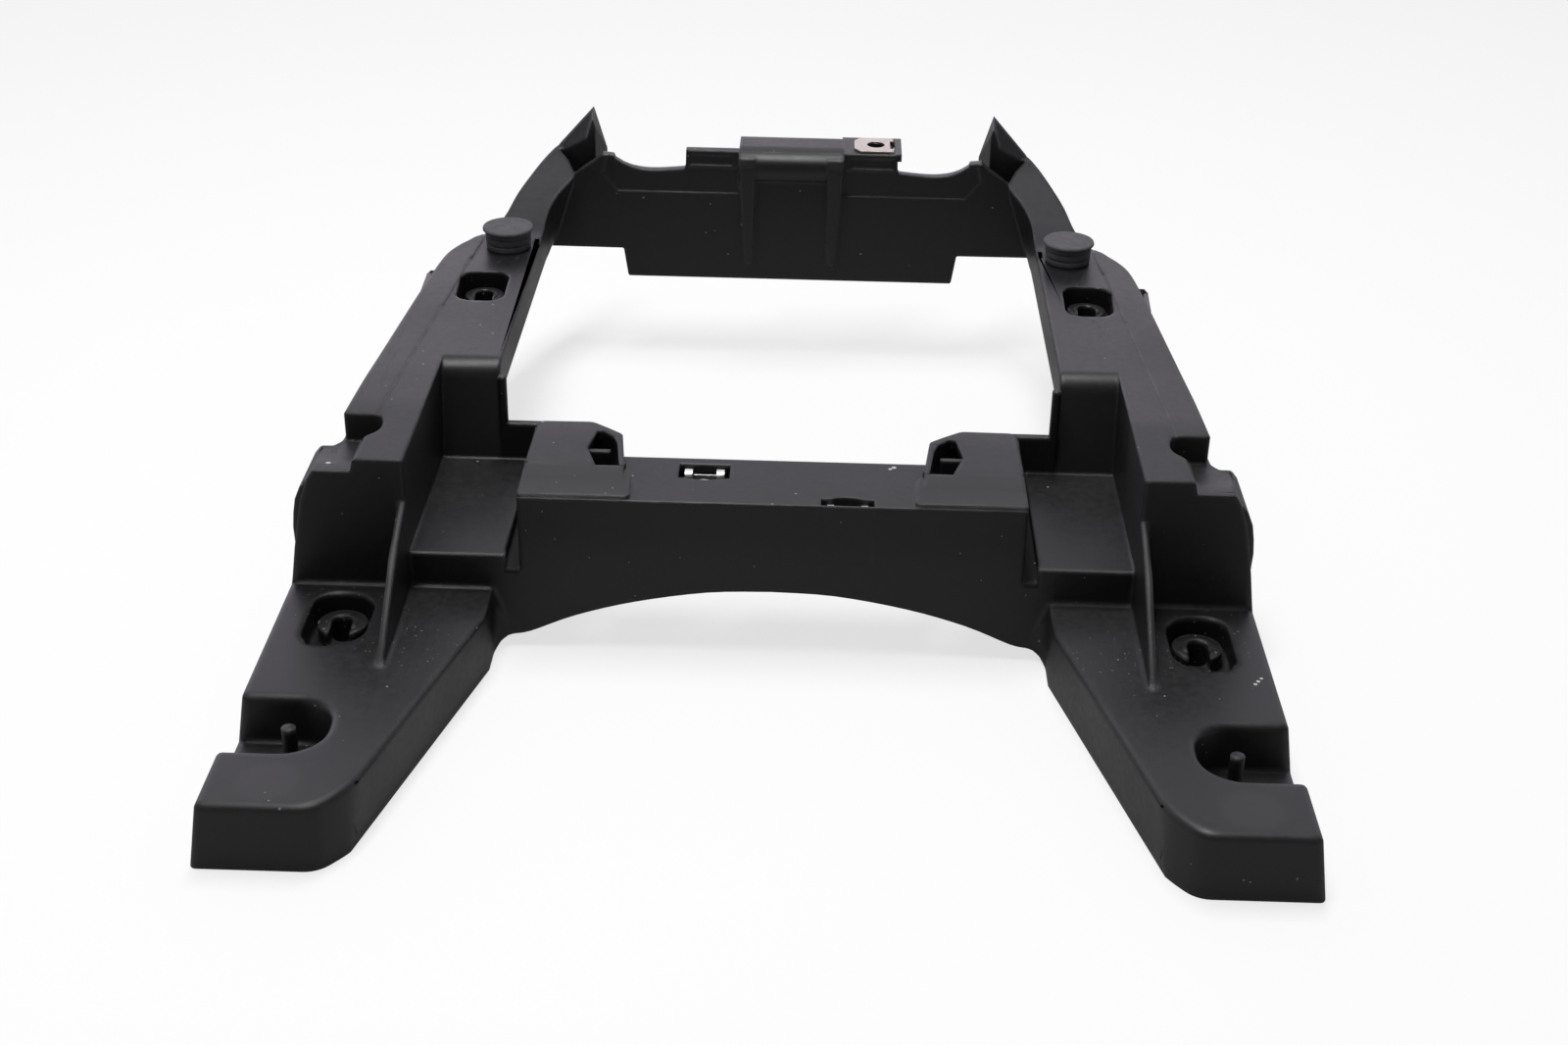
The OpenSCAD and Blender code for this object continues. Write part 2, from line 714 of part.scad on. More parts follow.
module seat_cuts() {
    both_sides() {
        // Bolt seat in the foot
        difference() {
            plan(near_pit, far, rounded([
                [near_bolt_x - 9.9, front + 83, 9], [near_bolt_x + 9.9, front + 83, 6.5],
                [near_bolt_x + 9.9, front + 113, 7.5], [near_bolt_x - 9.9, front + 113, 9.6]
            ]));
            difference() {
                near_boss();
                seat_slot(near_bolt, near_pit);
            }
        }
        translate([near_bolt[0], near_bolt[1], -1]) cylinder(d = bolt_hole, h = 60);
        // Bolt seat in the arm
        difference() {
            plan(far_pit, far, rounded([
                [far_bolt_x - 9.2, far_bolt[1] - 17.5, 6], [far_bolt_x + 8, far_bolt[1] - 17.5, 6],
                [far_bolt_x + 9.5, far_bolt[1] + 9.8, 6], [far_bolt_x - 8.6, far_bolt[1] + 9.8, 6]
            ]));
            difference() {
                far_boss();
                seat_slot(far_bolt, far_pit);
            }
        }
        // Leaning back wall of the channel and the rounded edge of the deck above it
        along(opening_half_width, channel_out, concat(
            [[channel_end - 1, shelf_height], [channel_end, shelf_height]],
            [for (a = [170:-10:90])
                [channel_end + roll_y + roll * cos(a), arm_deck_height - roll + roll * sin(a)]],
            [[channel_end + roll_y, arm_deck_height + 1], [channel_end - 1, arm_deck_height + 1]]));
        translate([far_bolt[0], far_bolt[1], 0]) cylinder(d = bolt_hole, h = far);
        // Hole for the buffer's stem
        translate([buffer_at[0], buffer_at[1], 30])
            cylinder(d = buffer_stem + 2 * fit, h = far);
        // Small slot beside the buffer
        box([buffer_at[0] - 10.5, buffer_at[1] + 2.6, under_deck - 1],
            [buffer_at[0] - 8.9, buffer_at[1] + 8.8, far]);
        // Notch in the outer side of the foot
        plan(notch_floor, foot_deck_height + 1, notch_plan);
        // Shallow round mark on the foot
        translate([134.8, front + 12, foot_deck_height - 0.3])
            cylinder(d = mark_diameter, h = 1);
    }
}

// Rings around the bolt holes and the bosses below them
module seat_bosses() {
    both_sides() {
        near_boss();
        plan(near_pit - skin, near_pit + 1, rounded([
            [near_bolt_x - 12, front + 81, 10], [near_bolt_x + 12, front + 81, 8],
            [near_bolt_x + 12, front + 115, 9], [near_bolt_x - 12, front + 115, 10.5]
        ]));
        difference() {
            plan(near_pit, foot_deck_height - skin + 1, rounded([
                [near_bolt_x - 12, front + 81, 10], [near_bolt_x + 12, front + 81, 8],
                [near_bolt_x + 12, front + 115, 9], [near_bolt_x - 12, front + 115, 10.5]
            ]));
            plan(near_pit - 1, far, rounded([
                [near_bolt_x - 9.9, front + 83, 9], [near_bolt_x + 9.9, front + 83, 6.5],
                [near_bolt_x + 9.9, front + 113, 7.5], [near_bolt_x - 9.9, front + 113, 9.6]
            ]));
        }
        far_boss();
        plan(far_pit - skin, under_deck + 1, rounded([
            [far_bolt_x - 11.5, far_bolt[1] - 20, 8], [far_bolt_x + 10.5, far_bolt[1] - 20, 8],
            [far_bolt_x + 12, far_bolt[1] + 12, 8], [far_bolt_x - 11, far_bolt[1] + 12, 8]
        ]));
    }
}

// Ribs under the deck of the arm
module arm_ribs() {
    for (y = [step_y + 95, step_y + 122, far_bolt[1] + 18, far_y - 36])
        intersection() {
            box([opening_half_width, y - rib / 2, arm_under + 1], [150, y + rib / 2, under_deck + 1]);
            plan(0, far, arm_plan(0));
        }
}

// Upright lug on the outer side of the arm and a rib on the shoulder
module side_lugs() {
    intersection() {
        plan(40, far, [
            [124.5, front + 236], [128.6, front + 237], [133.4, front + 262],
            [135.8, front + 288], [135, front + 292], [122, front + 292],
            [122, front + 290], [133.8, front + 290], [131.4, front + 263], [127.4, front + 245]
        ]);
        along(100, 150, [
            [front + 230, 48], [front + 250, 44], [front + 300, 44],
            [front + 300, 57], [front + 285, 58.5], [front + 260, 62.5], [front + 230, 67]
        ]);
    }
    across(step_y + 2, step_y + 27, [
        [140, 33], [150.3 + widen, 33], [150.5 + widen, 40], [150 + widen, 45],
        [149.1 + widen, 50], [147.2 + widen, 54.5], [145.2 + widen, 57], [140, 57]
    ]);
}

window = [-30.3, -14];
window_y = [step_y + 16.6, step_y + 26];
window_tab = 3;                          // thickness of the tab in the window
slot_clip_width = clip_width * 0.79;     // width of the two clip nuts in the near beam
edge_clip_x = 23.4;
edge_tab = 1.6;                          // thickness of the tab behind the front edge
edge_y = step_y + 2.8;                   // middle of that tab
window_clip = [(window[0] + window[1]) / 2, window_y[0] + 6.3];

// Outline of the shallow bay that makes room for a clip nut's collar
function bay(x, y, s) = [
    [x - 5, y + s], [x - 5, y], [x - 3.4, y - 0.7 * s], [x - 1.6, y - s],
    [x + 1.6, y - s], [x + 3.4, y - 0.7 * s], [x + 5, y], [x + 5, y + s]
];

// Openings for the near beam's two clip nuts
module beam_cuts() {
    slack = clip_sheet + seat + fit;
    box([window[0], window_y[0], beam_height - 18], [window[1], window_y[1], far]);
    plan(beam_height - 15, far, bay(window_clip[0], window_y[0], 1.1));
    plan(beam_height - 15, far, bay(edge_clip_x, edge_y + edge_tab / 2 + slack, -1.3));
    box([edge_clip_x - clip_width / 2 - fit, edge_y - edge_tab / 2 - slack, beam_height - 20],
        [edge_clip_x + clip_width / 2 + fit, edge_y + edge_tab / 2 + slack, far]);
}

// Walls around those openings
module clip_housings() {
    box([window[0] - 2, window_y[0] - 2, beam_height - 17],
        [window[1] + 2, window_y[1] + 2, beam_height - 1]);
    box([edge_clip_x - clip_width / 2 - 2, step_y + 1, beam_height - 15],
        [edge_clip_x + clip_width / 2 + 2, edge_y + 4.4, beam_height - 1]);
}

// Upright tabs that the near beam's clip nuts sit on
module clip_tabs() {
    box([window[0] - 1, window_clip[1] - window_tab / 2, beam_height - 17],
        [window[1] + 1, window_clip[1] + window_tab / 2, beam_height - 3.8]);
    box([edge_clip_x - clip_width / 2 - 1, edge_y - edge_tab / 2, beam_height - 15],
        [edge_clip_x + clip_width / 2 + 1, edge_y + edge_tab / 2, beam_height - 3.4]);
}

module frame() {
    color("#26262a")
    difference() {
        union() {
            both_sides() {
                arm();
                shoulder();
                step_wall();
                channel();
                foot();
                gusset();
                wing();
                arm_ribs();
                side_lugs();
            }
            near_beam();
            far_wall();
            far_tab();
            seat_bosses();
            clip_housings();
            both_sides()
                box([52.9, step_y + 30.4, beam_height - 12],
                    [62, step_y + 32.2, hook_height - 1.6]);
        }
        difference() {
            seat_cuts();
            both_sides() stud();
        }
        difference() {
            beam_cuts();
            clip_tabs();
        }
        wall_panels();
        far_clip_room();
        both_sides() {
            wing_gap();
            hook_pocket();
        }
    }
}

// Rubber buffer: a flat head, a collar and a stem with a holding lip
module buffer() {
    h = buffer_height;
    r = buffer_diameter / 2;
    s = buffer_stem / 2;
    grip = skin + 0.3;
    rotate_extrude() polygon([
        [0, -grip - 4], [s * 0.7, -grip - 4], [s + 1.4, -grip - 0.6], [s + 1.4, -grip],
        [s, -grip], [s, 0], [r - 1.6, 0], [r - 1.2, 0.5], [r - 1.1, h * 0.24],
        [r - 1.6, h * 0.29], [r - 1.1, h * 0.34], [r - 1, h * 0.54], [r - 1.5, h * 0.59],
        [r - 1, h * 0.64], [r - 0.9, h * 0.8], [r - 0.2, h * 0.84], [r, h * 0.88],
        [r, h - 0.7], [r - 0.2, h - 0.2], [r - 0.7, h], [0, h]
    ]);
}

module buffers() {
    color("#1c1c1e")
    both_sides()
        translate([buffer_at[0], buffer_at[1], arm_deck_height]) buffer();
}

// Clip nut folded from sheet around a tab; the fold is at +X, the hole at 0
module clip_nut(reach, tab, w, strap, bend, cut, hole, drop) {
    t = clip_sheet;
    gap = tab + 2 * seat;
    difference() {
        union() {
            // Top leaf with clipped corners
            plan(0, t, [
                [-8.5, -w / 2 + 3.4], [-6.1, -w / 2], [reach - bend, -w / 2],
                [reach - bend, w / 2], [-6.1, w / 2], [-8.5, w / 2 - 3.4]
            ]);
            // Fold
            difference() {
                across(-w / 2, w / 2, rounded([
                    [reach - 3, -gap - t, 0], [reach, -gap - t, bend], [reach, t, bend],
                    [reach - 3, t, 0]
                ]));
                across(-w, w, rounded([
                    [reach - 4, -gap, 0], [reach - t, -gap, max(bend - t, 0)],
                    [reach - t, 0, max(bend - t, 0)], [reach - 4, 0, 0]
                ]));
            }
            // Bottom leaf with the threaded collar
            box([-6.5, -w / 2 + 1, -gap - t], [reach - bend, w / 2 - 1, -gap]);
            translate([0, 0, -gap - t - drop]) cylinder(d = 8.6, h = drop + t);
        }
        translate([0, 0, -1]) cylinder(d = hole, h = 4);
        translate([0, 0, -20]) cylinder(d = 5, h = 30);
        // Opening that leaves two straps at the fold
        box([reach - cut, -w / 2 + strap, -gap - t - 0.01], [reach + 1, w / 2 - strap, t + 1]);
    }
}

module clip_nuts() {
    color("#b9b2a8") {
        // On the tab behind the far wall
        translate([tab_clip_x, tab_y, far_top_height + seat])
            clip_nut(tab_reach, skin, clip_width, 3.4, clip_sheet, 1.6, clip_hole, 2.6);
        // Upright in the near beam's window, with its collar towards the front
        translate([window_clip[0], window_clip[1] + window_tab / 2 + seat, beam_height - 6.6])
            rotate([-90, -90, 0])
            clip_nut(6.2, window_tab, slot_clip_width, 2.5, 2.2, 2.6, 5.6, 1.3);
        // Upright behind the near beam's front edge
        translate([edge_clip_x, edge_y - edge_tab / 2 - seat, beam_height - 9.6])
            rotate([90, -90, 0])
            clip_nut(8.6, edge_tab, slot_clip_width, 2.1, 1.6, 3, clip_hole, 0.15);
    }
}

frame();
buffers();
clip_nuts();
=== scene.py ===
import math

import bmesh
import bpy
from mathutils import Matrix, Vector


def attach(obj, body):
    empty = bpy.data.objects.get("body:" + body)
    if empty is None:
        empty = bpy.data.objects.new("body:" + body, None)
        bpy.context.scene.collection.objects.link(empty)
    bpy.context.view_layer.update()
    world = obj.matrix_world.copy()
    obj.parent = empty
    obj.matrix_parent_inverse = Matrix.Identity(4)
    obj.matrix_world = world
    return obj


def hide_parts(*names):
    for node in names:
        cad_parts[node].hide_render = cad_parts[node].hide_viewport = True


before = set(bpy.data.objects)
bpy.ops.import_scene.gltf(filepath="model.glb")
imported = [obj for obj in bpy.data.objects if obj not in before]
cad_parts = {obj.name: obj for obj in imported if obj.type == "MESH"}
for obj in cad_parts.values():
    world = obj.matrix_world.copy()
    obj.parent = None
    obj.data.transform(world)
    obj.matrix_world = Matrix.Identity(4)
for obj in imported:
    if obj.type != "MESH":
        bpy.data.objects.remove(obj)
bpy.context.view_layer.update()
scene = bpy.context.scene

NUMBER = "NodeSocketFloat"
VECTOR = "NodeSocketVector"


# Node helpers

def feed(tree, socket, value):
    if isinstance(value, bpy.types.NodeSocket):
        tree.links.new(value, socket)
    else:
        socket.default_value = value


def add(tree, kind, values=None, settings=None):
    node = tree.nodes.new(kind)
    for name, value in (settings or {}).items():
        setattr(node, name, value)
    for name, value in (values or {}).items():
        feed(tree, node.inputs[name], value)
    return node


def calc(tree, operation, a, b=None, clamp=False):
    values = {0: a}
    if b is not None:
        values[1] = b
    return add(tree, "ShaderNodeMath", values, {"operation": operation, "use_clamp": clamp}).outputs[0]


def ramp(tree, value, low, high, out_low=0.0, out_high=1.0):
    return add(tree, "ShaderNodeMapRange", {"Value": value, "From Min": low, "From Max": high,
                                            "To Min": out_low, "To Max": out_high},
               {"interpolation_type": "SMOOTHSTEP"}).outputs["Result"]


def between(tree, value, rise, fall):
    return calc(tree, "MULTIPLY", ramp(tree, value, *rise), ramp(tree, value, *fall))


def blend(tree, mask, first, second):
    return add(tree, "ShaderNodeMix", {0: mask, 6: first, 7: second}, {"data_type": "RGBA"}).outputs[2]


def choose(tree, share, first, second):
    return add(tree, "ShaderNodeMix", {0: share, 2: first, 3: second}, {"data_type": "FLOAT"}).outputs[0]


def noise(tree, place, scale, detail=2.0, rough=0.5):
    return add(tree, "ShaderNodeTexNoise", {"Vector": place, "Scale": scale, "Detail": detail,
                                            "Roughness": rough}).outputs["Fac"]


def split(tree, place):
    return add(tree, "ShaderNodeSeparateXYZ", {"Vector": place}).outputs


def stretch(tree, place, scale, turn=(0.0, 0.0, 0.0)):
    return add(tree, "ShaderNodeMapping", {"Vector": place, "Scale": scale,
                                           "Rotation": turn}).outputs["Vector"]


def group(name, inputs, outputs):
    tree = bpy.data.node_groups.new(name, "ShaderNodeTree")
    for label, kind, value in inputs:
        socket = tree.interface.new_socket(label, in_out="INPUT", socket_type=kind)
        if value is not None:
            socket.default_value = value
    for label, kind in outputs:
        tree.interface.new_socket(label, in_out="OUTPUT", socket_type=kind)
    return tree, tree.nodes.new("NodeGroupInput"), tree.nodes.new("NodeGroupOutput")


def use(tree, made, values):
    return add(tree, "ShaderNodeGroup", values, {"node_tree": made}).outputs


# Effects that several finishes share

# Rounded edges made lighter, partly rubbed wear and partly a painted highlight, and given a softened normal
def make_edge_rub_and_highlight():
    tree, given, gives = group("Edge rub and painted highlight", [("Radius", NUMBER, 0.001), ("Place", VECTOR, None),
                                            ("Breakup", NUMBER, 120.0)],
                               [("Mask", NUMBER), ("Soft normal", VECTOR)])
    rounded = add(tree, "ShaderNodeBevel", {"Radius": given.outputs["Radius"]}, {"samples": 6})
    flat = tree.nodes.new("ShaderNodeNewGeometry")
    dot = add(tree, "ShaderNodeVectorMath", {0: rounded.outputs[0], 1: flat.outputs["Normal"]},
              {"operation": "DOT_PRODUCT"})
    bend = ramp(tree, dot.outputs["Value"], 0.992, 0.86)
    patchy = ramp(tree, noise(tree, given.outputs["Place"], given.outputs["Breakup"], 3.0), 0.35, 0.7)
    worn = calc(tree, "ADD", calc(tree, "MULTIPLY", patchy, 0.7), 0.3)
    tree.links.new(calc(tree, "MULTIPLY", bend, worn, clamp=True), gives.inputs["Mask"])
    tree.links.new(rounded.outputs[0], gives.inputs["Soft normal"])
    return tree


def make_mould_grain():
    tree, given, gives = group("Mould grain", [("Place", VECTOR, None), ("Scale", NUMBER, 2600.0),
                                               ("Coarse", NUMBER, 420.0)],
                               [("Height", NUMBER), ("Gloss", NUMBER)])
    place = given.outputs["Place"]
    fine = noise(tree, place, given.outputs["Scale"], 2.0, 0.6)
    coarse = noise(tree, place, given.outputs["Coarse"], 2.0, 0.5)
    height = calc(tree, "ADD", calc(tree, "MULTIPLY", fine, 0.7), calc(tree, "MULTIPLY", coarse, 0.3))
    broad = noise(tree, place, 16.0, 3.0, 0.55)
    gloss = calc(tree, "ADD", calc(tree, "MULTIPLY", broad, 0.65), calc(tree, "MULTIPLY", coarse, 0.35))
    tree.links.new(height, gives.inputs["Height"])
    tree.links.new(gloss, gives.inputs["Gloss"])
    return tree


def make_dust():
    tree, given, gives = group("Dust specks", [("Place", VECTOR, None), ("Scale", NUMBER, 700.0),
                                               ("Size", NUMBER, 0.16), ("Amount", NUMBER, 0.1)],
                               [("Mask", NUMBER)])
    cells = add(tree, "ShaderNodeTexVoronoi", {"Vector": given.outputs["Place"],
                                               "Scale": given.outputs["Scale"], "Randomness": 1.0})
    pick = add(tree, "ShaderNodeSeparateColor", {"Color": cells.outputs["Color"]})
    chosen = calc(tree, "LESS_THAN", pick.outputs[0], given.outputs["Amount"])
    reach = calc(tree, "MULTIPLY", given.outputs["Size"], calc(tree, "ADD", pick.outputs[1], 0.35))
    inside = calc(tree, "LESS_THAN", cells.outputs["Distance"], reach)
    tree.links.new(calc(tree, "MULTIPLY", chosen, inside), gives.inputs["Mask"])
    return tree


def make_scratches():
    tree, given, gives = group("Hairline scratches", [("Place", VECTOR, None), ("Scale", NUMBER, 60.0),
                                                      ("Amount", NUMBER, 0.5)], [("Mask", NUMBER)])
    lines = []
    for turn, long in ((0.5, 0.06), (-0.9, 0.05), (1.9, 0.07)):
        put = stretch(tree, given.outputs["Place"], (1.0, long, 1.0), (0.0, 0.0, turn))
        band = noise(tree, put, calc(tree, "MULTIPLY", given.outputs["Scale"], 6.0), 1.0, 0.4)
        thin = ramp(tree, calc(tree, "ABSOLUTE", calc(tree, "SUBTRACT", band, 0.5)), 0.006, 0.0)
        patch = ramp(tree, noise(tree, put, given.outputs["Scale"], 1.0), 0.6, 0.68)
        lines.append(calc(tree, "MULTIPLY", thin, patch))
    total = calc(tree, "MAXIMUM", lines[0], calc(tree, "MAXIMUM", lines[1], lines[2]))
    mask = calc(tree, "MULTIPLY", total, given.outputs["Amount"], clamp=True)
    tree.links.new(mask, gives.inputs["Mask"])
    return tree


def make_spot():
    tree, given, gives = group("Round spot", [("Place", VECTOR, None), ("Centre", VECTOR, None),
                                              ("Radius", NUMBER, 0.01), ("Edge", NUMBER, 0.3)],
                               [("Mask", NUMBER)])
    gap = add(tree, "ShaderNodeVectorMath", {0: given.outputs["Place"], 1: given.outputs["Centre"]},
              {"operation": "DISTANCE"}).outputs["Value"]
    inner = calc(tree, "MULTIPLY", given.outputs["Radius"],
                 calc(tree, "SUBTRACT", 1.0, given.outputs["Edge"]))
    tree.links.new(ramp(tree, gap, given.outputs["Radius"], inner), gives.inputs["Mask"])
    return tree


edge_rub_and_highlight = make_edge_rub_and_highlight()
mould_grain = make_mould_grain()
dust_specks = make_dust()
scratches = make_scratches()
round_spot = make_spot()


# Parts of a finish

def finish(name, metallic=0.0, specular=0.5):
    made = bpy.data.materials.new(name)
    made.use_nodes = True
    tree = made.node_tree
    shader = tree.nodes["Principled BSDF"]
    shader.inputs["Metallic"].default_value = metallic
    shader.inputs["Specular IOR Level"].default_value = specular
    place = tree.nodes.new("ShaderNodeTexCoord").outputs["Object"]
    return made, tree, shader, place


def specks(tree, place, scale, size, amount):
    return use(tree, dust_specks, {"Place": place, "Scale": scale, "Size": size, "Amount": amount})["Mask"]


def spots(tree, place, marks):
    total = None
    for x, y, z, radius, edge in marks:
        mask = use(tree, round_spot, {"Place": place, "Centre": (x / 1000, y / 1000, z / 1000),
                                      "Radius": radius / 1000, "Edge": edge})["Mask"]
        total = mask if total is None else calc(tree, "MAXIMUM", total, mask)
    return total


def on_both_sides(marks):
    return [(side * x, *rest) for x, *rest in marks for side in (-1, 1)]


def lay_over(tree, base, layers):
    for mask, strength, colour in layers:
        base = blend(tree, calc(tree, "MULTIPLY", mask, strength), base, (*colour, 1.0))
    return base


def emboss(tree, shader, height, depth, strength, normal):
    bump = add(tree, "ShaderNodeBump", {"Strength": strength, "Distance": depth, "Height": height,
                                        "Normal": normal})
    tree.links.new(bump.outputs["Normal"], shader.inputs["Normal"])


# Marks on the moulding, in millimetres: x, y, z, radius and the share of it that fades out
DUST_DRIFTS = on_both_sides([(131, -84, 20, 26, 0.9), (108, -100, 20, 22, 0.9), (110, 76, 64, 20, 0.9)])
EJECTOR_MARKS = on_both_sides([(134.8, -174, 21.5, 10.5, 0.35)])
CHIPS = [(145.8, -110.5, 21.5, 0.7, 0.3), (146.9, -108.9, 21.5, 0.7, 0.3), (148.1, -107.2, 21.5, 0.6, 0.3),
         (38.1, -39.5, 54, 0.9, 0.3), (36.9, -40.6, 54, 0.7, 0.3), (-138.5, -60, 61.5, 1.2, 0.3)]
PITTED_SPOTS = [(-41, -52, 54, 9, 0.5), (-36, -60, 54, 8, 0.5), (42, -52, 54, 8, 0.6)]

# The groove between the beam's end and the channel's floor, in metres
BEAM_END = 0.0792
BEAM_FRONT = -0.0670
CHANNEL_SIDE = 0.0840
GROOVE_FLOOR = 0.0285


# Dirt makes the groove's floor matt
def groove_dirt(tree, part, fade=0.0006):
    across = between(tree, calc(tree, "ABSOLUTE", part["X"]), (BEAM_END, BEAM_END + fade),
                     (CHANNEL_SIDE + fade, CHANNEL_SIDE))
    along = ramp(tree, part["Y"], BEAM_FRONT - 0.003, BEAM_FRONT)
    upright = between(tree, part["Z"], (GROOVE_FLOOR + 0.0045, GROOVE_FLOOR + 0.0015),
                      (GROOVE_FLOOR - 0.002, GROOVE_FLOOR - 0.001))
    return calc(tree, "MULTIPLY", calc(tree, "MULTIPLY", across, along), upright)


# The beam's top, and what stands as high beside it, is duller than the rest
def dull_top(tree, part):
    return calc(tree, "MULTIPLY", ramp(tree, part["Y"], -0.020, -0.034), ramp(tree, part["Z"], 0.030, 0.045))


# Finishes

def moulded_charcoal():
    made, tree, shader, place = finish("Moulded charcoal plastic")
    part = split(tree, place)
    # Edges look rounder on the feet than above them
    rounding = ramp(tree, part["Z"], 0.023, 0.032, 0.0030, 0.0019)
    edge = use(tree, edge_rub_and_highlight, {"Radius": rounding, "Place": place, "Breakup": 90.0})
    grain = use(tree, mould_grain, {"Place": place, "Scale": 2400.0, "Coarse": 380.0})
    fallen = specks(tree, place, 560.0, 0.17, 0.022)
    gathered = specks(tree, place, 820.0, 0.22, 0.16)
    drifts = calc(tree, "MULTIPLY", gathered, spots(tree, place, DUST_DRIFTS))
    dust = calc(tree, "MAXIMUM", fallen, drifts)
    pits = calc(tree, "MULTIPLY", specks(tree, place, 430.0, 0.46, 0.34), spots(tree, place, PITTED_SPOTS))
    lines = use(tree, scratches, {"Place": place, "Scale": 34.0, "Amount": 0.5})["Mask"]

    base = blend(tree, ramp(tree, grain["Gloss"], 0.35, 0.65), (0.0085, 0.0082, 0.0090, 1.0),
                 (0.0130, 0.0126, 0.0138, 1.0))
    base = lay_over(tree, base, [
        (spots(tree, place, EJECTOR_MARKS), 0.5, (0.026, 0.025, 0.0265)),
        # Edges painted lighter: partly rubbed wear, partly a painted highlight along the rounded edges
        (edge["Mask"], 0.6, (0.070, 0.067, 0.073)),
        (lines, 0.35, (0.06, 0.057, 0.06)),
        (pits, 0.7, (0.006, 0.006, 0.006)),
        (dust, 0.55, (0.42, 0.40, 0.40)),
        (spots(tree, place, CHIPS), 0.8, (0.62, 0.60, 0.58)),
    ])
    tree.links.new(base, shader.inputs["Base Color"])

    rough = ramp(tree, grain["Gloss"], 0.3, 0.7, 0.36, 0.48)
    for operation, mask, amount in (("ADD", calc(tree, "MAXIMUM", dust, lines), 0.25),
                                    ("SUBTRACT", edge["Mask"], 0.14),
                                    ("ADD", dull_top(tree, part), 0.09),
                                    ("ADD", groove_dirt(tree, part), 0.55)):
        rough = calc(tree, operation, rough, calc(tree, "MULTIPLY", mask, amount), clamp=True)
    tree.links.new(rough, shader.inputs["Roughness"])

    height = calc(tree, "SUBTRACT", grain["Height"], calc(tree, "MULTIPLY", pits, 3.0))
    emboss(tree, shader, height, 0.00006, 0.5, edge["Soft normal"])
    return made


def buffer_rubber():
    made, tree, shader, place = finish("Buffer rubber", specular=0.4)
    edge = use(tree, edge_rub_and_highlight, {"Radius": 0.0009, "Place": place, "Breakup": 260.0})
    grain = use(tree, mould_grain, {"Place": place, "Scale": 3000.0, "Coarse": 700.0})
    bloom = ramp(tree, noise(tree, place, 240.0, 3.0, 0.6), 0.3, 0.7)
    base = blend(tree, bloom, (0.072, 0.070, 0.074, 1.0), (0.098, 0.096, 0.101, 1.0))
    base = lay_over(tree, base, [
        (edge["Mask"], 0.3, (0.10, 0.10, 0.10)),
        (specks(tree, place, 800.0, 0.16, 0.02), 0.5, (0.4, 0.39, 0.38)),
    ])
    tree.links.new(base, shader.inputs["Base Color"])
    tree.links.new(ramp(tree, grain["Gloss"], 0.3, 0.7, 0.68, 0.84), shader.inputs["Roughness"])
    emboss(tree, shader, grain["Height"], 0.00005, 0.5, edge["Soft normal"])
    return made


def zinc_clip():
    made, tree, shader, place = finish("Zinc plated spring steel", metallic=1.0)
    edge = use(tree, edge_rub_and_highlight, {"Radius": 0.0003, "Place": place, "Breakup": 900.0})
    rolled = noise(tree, stretch(tree, place, (1.0, 12.0, 1.0)), 420.0, 3.0, 0.6)
    cloud = noise(tree, place, 260.0, 3.0, 0.55)
    bright = blend(tree, cloud, (0.66, 0.65, 0.63, 1.0), (0.80, 0.79, 0.77, 1.0))
    passivated = blend(tree, cloud, (0.46, 0.42, 0.37, 1.0), (0.62, 0.57, 0.51, 1.0))
    # The clip nut on the far wall is the tan one
    far = ramp(tree, split(tree, place)["Y"], 0.10, 0.12)
    base = lay_over(tree, blend(tree, far, bright, passivated), [(edge["Mask"], 0.4, (0.95, 0.94, 0.92))])
    tree.links.new(base, shader.inputs["Base Color"])
    tree.links.new(ramp(tree, rolled, 0.3, 0.7, 0.26, 0.44), shader.inputs["Roughness"])
    emboss(tree, shader, rolled, 0.00003, 0.25, edge["Soft normal"])
    return made


# The moulding with its outer edges rounded: a welded copy of the CAD node, which it stands for

# Radius and box, in millimetres and the same on both sides; where boxes overlap the first counts
ROUNDED = [(1.8, ((0, -190, 2), (160, -79, 23))), (0.9, ((0, -190, 2), (160, 118, 100)))]
ROUNDING_STEPS = 3
# Edges whose faces turn by less than this stay as they are
LEAST_TURN = math.radians(38)
# So do the edges in these boxes
KEPT_SHARP = [
    ((0, -200, -5), (160, 200, 2)),
    ((0, -79, -1), (96, -50, 48)),
    ((0, -77, 40), (50, -28, 60)),
    ((48, -52, 20), (66, -20, 60)),
    ((78, -79, 0), (93, -20, 56)),
    ((0, 118, -1), (160, 200, 100)),
    ((80, -92, 0), (92, -66, 22)),
]
# And those of seats, marks, buffers and studs: centre and reach
KEPT_ROUND = [((132.6, -84), 19), ((134.8, -174), 12), ((109.8, 76), 18), ((105.5, 107), 14),
              ((135.2, -148), 4)]
# Outside this box, which holds the lower rim of the feet, faces this flat to each other are joined
FOOT_RIM = ((0, -200, -1), (160, -60, 4))
SAME_FACE = math.radians(0.5)

# The drafted inner wall of a foot, in metres, and the two ribs that meet it
FOOT_DECK = 0.0215
WALL_POINT = (0.088, -0.086)
WALL_FACING = (-0.9677, -0.2523)
WALL_DRAFT = 0.0012 / 0.0225
WALL_RIBS = ((-0.1741, -0.1699), (-0.1201, -0.1159))
MOST_PROUD = 0.0016


def within(point, low, high):
    return all(a / 1000 <= p <= b / 1000 for p, a, b in zip((abs(point.x), point.y, point.z), low, high))


def near_round(point):
    across, along = abs(point.x) * 1000, point.y * 1000
    return any(math.hypot(across - x, along - y) < reach for (x, y), reach in KEPT_ROUND)


def middle(edge):
    return (edge.verts[0].co + edge.verts[1].co) / 2


def rounding_at(point):
    if near_round(point) or any(within(point, *box) for box in KEPT_SHARP):
        return None
    return next((radius for radius, box in ROUNDED if within(point, *box)), None)


def edges_to_round(mesh, radius):
    outer = [edge for edge in mesh.edges
             if edge.is_manifold and edge.is_convex and edge.calc_face_angle(0) >= LEAST_TURN]
    return [edge for edge in outer if rounding_at(middle(edge)) == radius]


